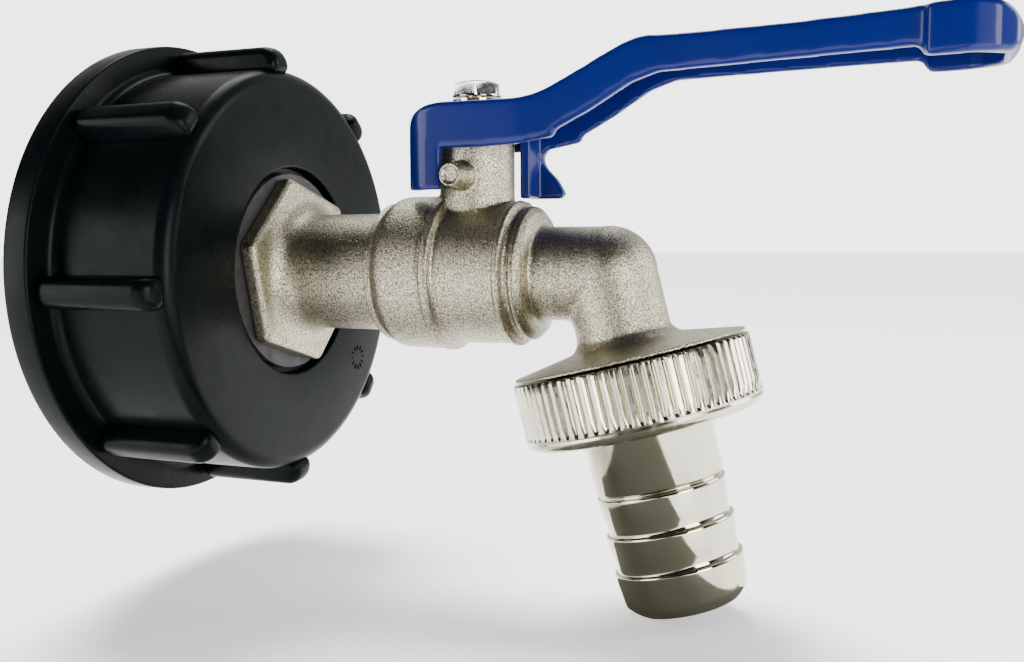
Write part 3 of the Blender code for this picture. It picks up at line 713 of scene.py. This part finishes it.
class TAP_OT_lever(bpy.types.Operator):
    """Painted sheet lever with its stop tabs and thicker grip"""
    bl_idname = "outlet_tap.lever"
    bl_label = "Lever"

    def execute(self, context):
        settings = context.scene.tap_lever
        sheet = settings.sheet / MM
        grain = settings.grain / MM
        lever = side_plate("lever_side", self.side_outline(), -12.0, 12.0)
        combine(lever, "INTERSECT", plan_plate("lever_plan", mirrored(self.half_widths(0.0)), 10.0, 40.0))
        cast_skin(lever, grain, 24)
        inside = side_plate("inside_side", self.inside_outline(sheet), -12.0, 12.0)
        combine(inside, "INTERSECT", plan_plate("inside_plan", mirrored(self.half_widths(sheet)), 4.0, 40.0))
        combine(lever, "DIFFERENCE", inside)
        joined(lever, *self.tabs(sheet))
        cast_skin(lever, grain, 5)
        combine(lever, "DIFFERENCE", block("square_hole", (STEM_X - 2.3, -2.3, 20.0), (STEM_X + 2.3, 2.3, 30.0)))
        finish_piece(lever, "lever_sheet", gloss_paint(settings.paint), "lever_set", "blue_paint", "lever", angle=45)
        return {"FINISHED"}

    def top_line(self):
        """The top edge from the front corner to the tip."""
        front = [(50.6 + x * 1.5, z) for x, z in arc(4.6, 21.9, 4.6, 180, 90, 12)]
        rise = [(69.5, 26.5), (73.5, 27.4), (79.3, 30.3), (85.0, 33.3), (88.6, 34.5), (93.0, 34.5), (108.0, 34.7)]
        rise += [(121.0, 35.2), (132.5, 35.7), (136.6, 35.0), (138.9, 32.4)]
        return front + smooth_line(rise, 8)

    def side_outline(self):
        bottom = [(138.4, 30.2), (137.2, 29.0), (126.8, 28.8), (126.1, 30.3), (121.0, 30.2), (97.0, 29.5)]
        bottom += [(91.0, 29.3), (87.0, 28.0), (80.9, 24.3), (76.2, 21.9), (75.6, 21.7), (75.4, 20.6)]
        bottom += [(70.0, 19.7), (64.0, 19.4)]
        return self.top_line() + bottom + [(50.6, 19.4)]

    def half_widths(self, inset):
        """Half of the plan outline, as (x, half width) from front to tip."""
        corner, hub, front, tip = 4.0, 8.0, 50.6 + inset, 138.9 - inset
        outline = arc(front + corner, hub - inset - corner, corner, 180, 90, 8)
        tail = [(70.0, hub), (80.0, 7.0), (90.0, 6.3), (100.0, 6.5), (124.8, 7.8), (127.0, 9.2), (132.5, 9.3)]
        outline += smooth_line([(x, half - inset) for x, half in tail], 5)
        return outline + [(tip - 3.2, 8.3 - inset), (tip - 1.0, 6.2 - inset), (tip, 3.0)]

    def inside_outline(self, sheet):
        top = [(x, z - sheet) for x, z in self.top_line()[13:-6]]
        front = [(50.6 + sheet + x * 1.5, z) for x, z in arc(4.6 - sheet, 21.9, 4.6 - sheet, 180, 90, 8)]
        return front + top + [(136.4, 33.0), (136.4, 5.0), (50.6 + sheet, 5.0)]

    def tabs(self, sheet):
        """The front stop tab, and the rear tab's plate and flared foot."""
        front = plan_plate("front_tab", mirrored(self.half_widths(0.0)), 13.1, 21.0)
        combine(front, "INTERSECT", block("front_part", (50.0, -9.0, 10.0), (57.1, -3.6, 23.0)))
        combine(front, "DIFFERENCE", plan_plate("front_hollow", mirrored(self.half_widths(sheet)), 9.0, 24.0))
        line = [(66.5, 20.5), (66.5, 11.8), (71.8, 11.8)]
        line += smooth_line([(72.5, 12.5), (71.2, 14.8), (69.5, 16.6), (68.8, 18.0), (69.2, 19.2), (70.6, 20.3)], 4)
        foot = side_plate("rear_foot", line, 8.0 - sheet, 8.0)
        rear = block("rear_plate", (66.5, 2.0, 11.8), (66.5 + sheet, 8.0, 25.7))
        return front, foot, rear


class TAP_OT_lever_nut(bpy.types.Operator):
    """Bright hexagon nut with a domed top and a flange"""
    bl_idname = "outlet_tap.lever_nut"
    bl_label = "Lever nut"

    def execute(self, context):
        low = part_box("lever_nut")[0].z / MM
        profile = [(low, 0.0), (low, 3.8), (low + 0.15, 3.95), (low + 0.4, 3.9), (low + 0.5, 3.4), (low + 0.5, 0.0)]
        rim = spun("nut_rim", profile, 96, closed=False)
        leave_edit()
        corner = 7.0 / 2 / math.cos(math.radians(30))
        middle = (0, 0, (low + 1.6) * MM)
        bpy.ops.mesh.primitive_cylinder_add(vertices=6, radius=corner * MM, depth=2.8 * MM, location=middle)
        prism = bpy.context.object
        bpy.ops.object.transform_apply(location=True)
        place(prism, Matrix.Rotation(math.radians(20.0), 4, "Z"))
        dome = [(low - 1.0, 0.0), (low - 1.0, 5.0), (low + 1.3, 5.0), (low + 1.8, 4.05), (low + 2.3, 3.2)]
        dome += [(low + 2.55, 2.5), (low + 2.7, 1.6), (low + 2.75, 0.0)]
        combine(prism, "INTERSECT", spun("nut_dome", dome, 96, closed=False))
        combine(prism, "UNION", rim)
        combine(prism, "DIFFERENCE", rod("nut_bore", low - 3.0, low + 1.9, 2.2, 48))
        apply_modifier(prism, "BEVEL", width=0.12 * MM, segments=2, limit_method="ANGLE", angle_limit=math.radians(32))
        place(prism, STEM_AXIS)
        steel = polished_metal("bright_steel", (0.74, 0.74, 0.73), 0.16, 0.25)
        finish_piece(prism, "hexagon_nut", steel, "lever_set", "bright_steel", "lever_nut", angle=35)
        return {"FINISHED"}


class TAP_OT_union_nut(bpy.types.Operator):
    """Knurled union nut with a polished lower edge"""
    bl_idname = "outlet_tap.union_nut"
    bl_label = "Union nut"

    def execute(self, context):
        union = context.scene.tap_union
        radius = union.radius / MM
        steps = 6
        top, knurl_end = 13.25, 21.9
        profile = [(top, 13.3), (top, radius - 0.75)] + arc(top + 0.55, radius - 0.55, 0.55, 180, 90, 3)
        profile += [(15.0, radius), (17.5, radius), (20.0, radius), (knurl_end - 0.5, radius), (knurl_end, radius)]
        profile += [(knurl_end + 0.25, radius - 0.1)] + arc(22.2, radius - 1.6, 1.6, 78, 10, 6)
        profile += [(23.8, radius - 2.4), (23.8, 10.6), (23.6, 10.4), (21.9, 10.4), (21.9, 13.3)]
        obj = spun("union_nut_blank", profile, union.grooves * steps)
        edit(obj)
        pitch = 2 * math.pi / union.grooves
        depth = union.groove_depth

        def groove(offset):
            def rule(co):
                turn = (math.atan2(co.y, co.x) / pitch * steps + offset) % steps
                near = min(turn, steps - turn) < 0.2
                return near and math.hypot(co.x, co.y) > (radius - 0.6) * MM and co.z < (knurl_end - 0.2) * MM
            return rule

        for offset, share in ((0, 1.0), (1, 0.3), (-1, 0.3)):
            select_vertices(groove(offset))
            scale = 1 - depth * share / union.radius
            bpy.ops.transform.resize(value=(scale, scale, 1), center_override=(0, 0, 0))
        bpy.ops.object.mode_set(mode="OBJECT")
        place(obj, OUTLET_AXIS)
        metal = polished_metal("polished_nickel", union.metal, 0.2, 0.1)
        finish_piece(obj, "knurled_nut", metal, "nut", "polished_nickel", "union_nut", angle=25)
        return {"FINISHED"}


class TAP_OT_hose_tail(bpy.types.Operator):
    """Polished hose tail with three barbs and a chamfered end"""
    bl_idname = "outlet_tap.hose_tail"
    bl_label = "Hose tail"

    def execute(self, context):
        union = context.scene.tap_union
        pitch = union.barb_pitch / MM
        outer, valley, bore, end = 10.0, 9.35, 6.6, 51.6
        first = 33.0
        profile = [(20.3, bore), (20.3, 12.9), (21.9, 12.9), (21.9, outer), (first - 0.8, outer)]
        profile += [(first - 0.5, outer - 0.15), (first - 0.35, valley)]
        for i in range(3):
            step = first + pitch * i
            profile += [(step, valley), (step + 0.05, outer - 0.2)]
            profile += [(step + 0.25, outer - 0.03), (step + 0.6, outer - 0.03)]
            if i < 2:
                profile += [(step + pitch - 1.6, valley + 0.12), (step + pitch - 0.6, valley)]
        profile += [(end - 2.0, valley + 0.1), (end - 1.5, valley), (end - 0.3, 8.2), (end, 7.8), (end, bore)]
        obj = spun("hose_tail_blank", profile, 144)
        apply_modifier(obj, "BEVEL", width=0.12 * MM, segments=2, limit_method="ANGLE", angle_limit=math.radians(40))
        place(obj, OUTLET_AXIS)
        metal = polished_metal("tail_nickel", [c * 0.95 for c in union.metal], 0.07, 0.15)
        finish_piece(obj, "barbed_tail", metal, "tail", "polished_nickel", "hose_tail", angle=40)
        return {"FINISHED"}


class TAP_OT_inner_parts(bpy.types.Operator):
    """Materials for the seals, seats, ball, stem and washers"""
    bl_idname = "outlet_tap.inner_parts"
    bl_label = "Inner parts"

    def execute(self, context):
        rubber = soft_material("black_rubber", (0.02, 0.02, 0.021), 0.55, 0.75, 500.0)
        ptfe = soft_material("white_ptfe", (0.82, 0.82, 0.79), 0.35, 0.5, 400.0)
        brass = soft_material("bare_brass", (0.72, 0.52, 0.24), 0.22, 0.38, 900.0, 1.0)
        ball = polished_metal("ball_nickel", context.scene.tap_union.metal, 0.08, 0.1)
        steel = polished_metal("washer_steel", (0.74, 0.74, 0.73), 0.2, 0.2)
        finishes = {
            "cap_gasket": rubber, "inlet_seal": rubber, "hose_seal": rubber, "stem_o_ring_lower": rubber,
            "stem_o_ring_upper": rubber, "inlet_seat": ptfe, "outlet_seat": ptfe, "stem_thrust_washer": ptfe,
            "stem": brass, "ball": ball, "lever_washer": steel,
        }
        for node, material in finishes.items():
            obj = frame["nodes"][node]
            if not obj.material_slots:
                obj.data.materials.append(material)
            for slot in obj.material_slots:
                slot.material = material
        return {"FINISHED"}


class TAP_OT_stage(bpy.types.Operator):
    """Pale floor, soft lights and the camera"""
    bl_idname = "outlet_tap.stage"
    bl_label = "Stage"

    def execute(self, context):
        stage = context.scene.tap_stage
        floor = self.floor(stage)
        self.world()
        self.lamp("key_light", (-0.5, -0.55, 0.1), 0.45, 3.6)
        self.lamp("right_light", (0.62, -0.36, 0.1), 0.3, 3.2)
        self.lamp("side_light", (0.62, 0.32, 0.22), 0.35, 2.4)
        self.lamp("top_light", (-0.1, 0.3, 0.72), 0.4, 3.4)
        self.sun(floor)
        self.flag()
        self.camera(stage)
        return {"FINISHED"}

    def floor(self, stage):
        leave_edit()
        bpy.ops.mesh.primitive_circle_add(vertices=64, radius=3.0, fill_type="NGON", location=(0, 0, CAD_BOX[0].z))
        obj = bpy.context.object
        obj.name = "floor"
        material, tree, shader = new_material("pale_floor", stage.floor, 0.6)
        cloud = noise(tree, object_coordinates(tree), 3.0, 2.0)
        tint = ramp(tree, cloud, 0.3, 0.7, scaled(stage.floor, 0.99), stage.floor)
        tree.links.new(tint, shader.inputs["Base Color"])
        shader.inputs["Emission Color"].default_value = (1.0, 1.0, 1.0, 1.0)
        shader.inputs["Emission Strength"].default_value = 0.6
        obj.data.materials.append(material)
        return obj

    def world(self):
        world = bpy.data.worlds.new("studio")
        world.use_nodes = True
        tree = world.node_tree
        background = tree.nodes["Background"]
        background.inputs["Color"].default_value = (0.97, 0.98, 1.0, 1.0)
        seen = tree.nodes.new("ShaderNodeLightPath").outputs["Is Camera Ray"]
        split = tree.nodes.new("ShaderNodeSeparateXYZ")
        tree.links.new(tree.nodes.new("ShaderNodeTexCoord").outputs["Generated"], split.inputs["Vector"])
        mix = tree.nodes.new("ShaderNodeMix")
        tree.links.new(seen, mix.inputs["Factor"])
        tree.links.new(between(tree, split.outputs["Y"], -0.2, 0.8, 0.03, 1.1), mix.inputs["A"])
        mix.inputs["B"].default_value = 3.9
        tree.links.new(mix.outputs["Result"], background.inputs["Strength"])
        bpy.context.scene.world = world

    def lamp(self, name, location, size, power):
        leave_edit()
        bpy.ops.object.light_add(type="AREA", location=location)
        lamp = bpy.context.object
        lamp.name = name
        lamp.data.shape = "SQUARE"
        lamp.data.size = size
        lamp.data.energy = power
        aim = Vector((0.07, 0, 0)) - Vector(location)
        lamp.rotation_euler = aim.to_track_quat("-Z", "Y").to_euler()

    def sun(self, floor):
        """Wide overhead light for the floor alone, so the tap keeps its dark tops and still throws its shadow."""
        leave_edit()
        bpy.ops.object.light_add(type="SUN", rotation=(math.radians(-18), math.radians(-22), 0))
        lamp = bpy.context.object
        lamp.name = "ceiling_light"
        lamp.data.energy = 8.0
        lamp.data.angle = math.radians(28)
        lit = bpy.data.collections.new("lit_by_ceiling")
        lit.objects.link(floor)
        lamp.light_linking.receiver_collection = lit

    def flag(self):
        """A dark sheet in front that only reflections show: a painted dark reflection on the metal, so the bright metal
        keeps its contrast.
        """
        leave_edit()
        middle = (0.305, -1.225, CAD_BOX[0].z + MM)
        bpy.ops.mesh.primitive_plane_add(size=1, location=middle, rotation=(0, 0, math.radians(10)))
        obj = bpy.context.object
        obj.scale = (0.07, 2.5, 1.0)
        bpy.ops.object.transform_apply(location=True, rotation=True, scale=True)
        obj.name = "front_flag"
        # The sheet's dark colour is painted shade, seen only as a dark reflection on the metal.
        obj.data.materials.append(new_material("dark_reflection_sheet", (0.2, 0.2, 0.18), 0.9)[0])
        obj.visible_camera = False
        obj.visible_shadow = False
        obj.visible_diffuse = False

    def camera(self, stage):
        leave_edit()
        bpy.ops.object.camera_add()
        camera = bpy.context.object
        camera.name = "camera"
        right = Vector((0.92754768, 0.37366628, -0.00536742))
        down = Vector((0.02824421, -0.08441747, -0.9960301))
        ahead = Vector((-0.37263597, 0.92371381, -0.08885513))
        matrix = Matrix((right, -down, -ahead)).transposed().to_4x4()
        matrix.translation = (0.131279, -0.162086, 0.006361)
        camera.matrix_world = matrix
        camera.data.sensor_width = 36.0
        camera.data.lens = stage.lens
        camera.data.clip_start = 0.005
        camera.data.clip_end = 20.0
        bpy.context.scene.camera = camera


class TAP_PT_panel(bpy.types.Panel):
    bl_label = "Outlet tap"
    bl_idname = "TAP_PT_panel"
    bl_space_type = "VIEW_3D"
    bl_region_type = "UI"
    bl_category = "Outlet tap"

    def draw(self, context):
        for operator in OPERATORS:
            self.layout.operator(operator.bl_idname)
        for key, group in SETTINGS.items():
            box = self.layout.box()
            box.label(text=key.replace("_", " "))
            for name in group.__annotations__:
                box.prop(getattr(context.scene, key), name)


SETTINGS = {
    "tap_cap": CapSettings,
    "tap_connector": ConnectorSettings,
    "tap_body": BodySettings,
    "tap_lever": LeverSettings,
    "tap_union": UnionSettings,
    "tap_stage": StageSettings,
}
OPERATORS = (
    TAP_OT_stage, TAP_OT_cap, TAP_OT_connector, TAP_OT_body, TAP_OT_lever,
    TAP_OT_lever_nut, TAP_OT_union_nut, TAP_OT_hose_tail, TAP_OT_inner_parts,
)


def register():
    for key, group in SETTINGS.items():
        bpy.utils.register_class(group)
        setattr(bpy.types.Scene, key, PointerProperty(type=group))
    for operator in OPERATORS:
        bpy.utils.register_class(operator)
    bpy.utils.register_class(TAP_PT_panel)


def unregister():
    bpy.utils.unregister_class(TAP_PT_panel)
    for operator in reversed(OPERATORS):
        bpy.utils.unregister_class(operator)
    for key, group in SETTINGS.items():
        delattr(bpy.types.Scene, key)
        bpy.utils.unregister_class(group)


def main():
    register()
    bpy.ops.outlet_tap.stage()
    bpy.ops.outlet_tap.cap()
    bpy.ops.outlet_tap.connector()
    bpy.ops.outlet_tap.body()
    bpy.ops.outlet_tap.lever()
    bpy.ops.outlet_tap.lever_nut()
    bpy.ops.outlet_tap.union_nut()
    bpy.ops.outlet_tap.hose_tail()
    bpy.ops.outlet_tap.inner_parts()
    leave_edit()


if __name__ == "__main__":
    main()
